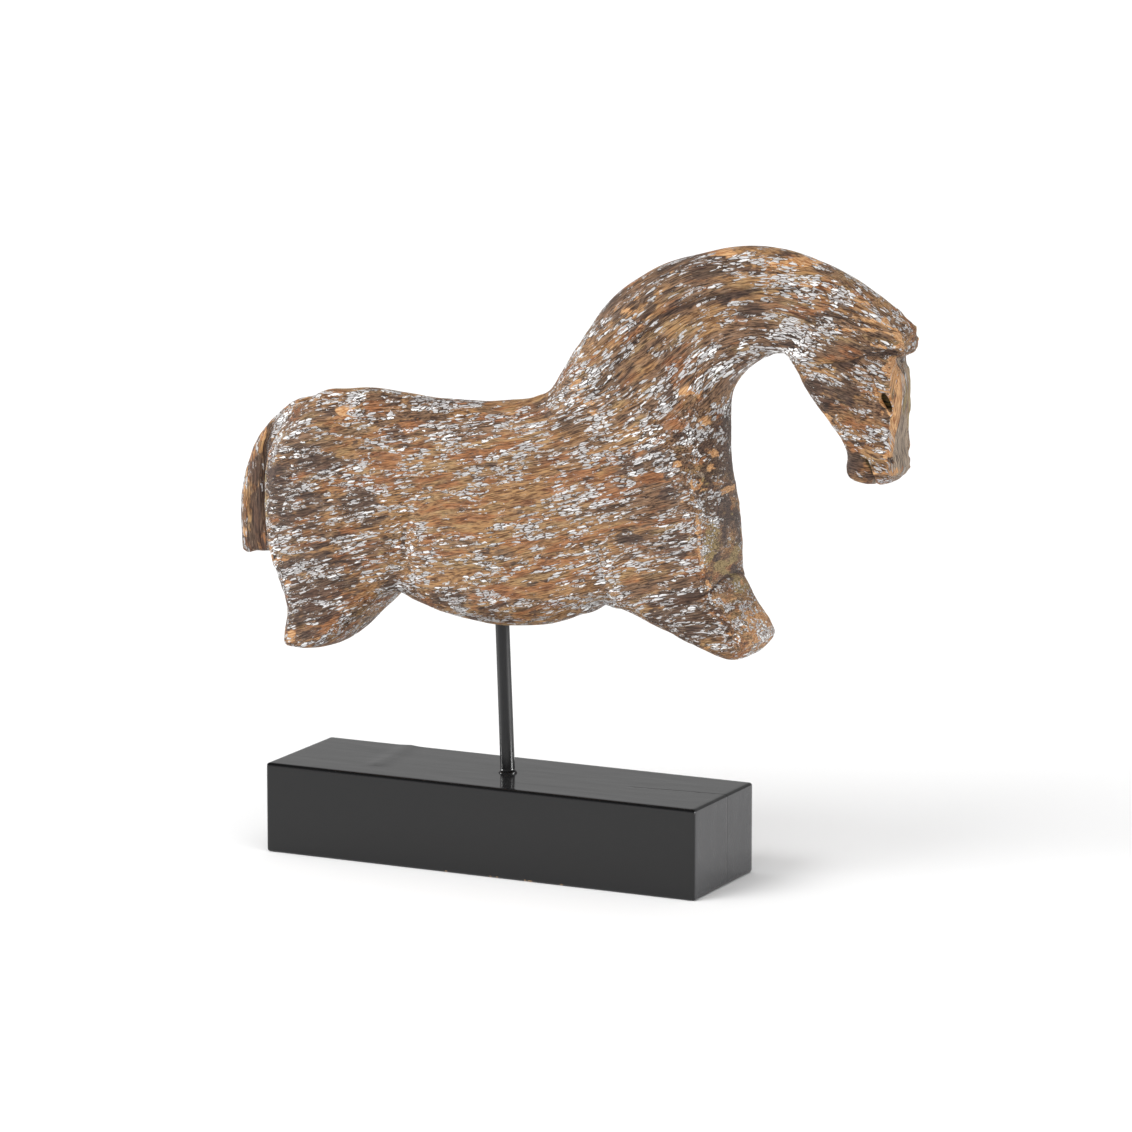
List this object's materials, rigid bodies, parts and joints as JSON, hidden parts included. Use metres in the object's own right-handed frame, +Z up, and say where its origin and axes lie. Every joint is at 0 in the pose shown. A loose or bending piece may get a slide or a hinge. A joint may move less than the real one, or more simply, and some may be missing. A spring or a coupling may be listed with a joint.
{
  "type": "horse carving on stand",
  "caption": "Carved wooden horse without legs, with arched neck and cut-off tail, held by a leaning metal rod on a rectangular lacquered block.",
  "frame": {"origin": "middle of the block's underside", "axes": "+X along the block towards the horse's head, +Z up, the horse's right side faces -Y"},
  "size_m": [0.4015, 0.075, 0.3485],
  "materials": {
    "weathered_wood": "carved wood, distressed, with worn remains of silvery white paint along the grain",
    "black_metal": "satin black",
    "black_lacquer": "semi-gloss black lacquer over faint grain"
  },
  "bodies": {
    "root": {"horse": "weathered_wood", "rod": "black_metal", "base": "black_lacquer"}
  },
  "joints": []
}
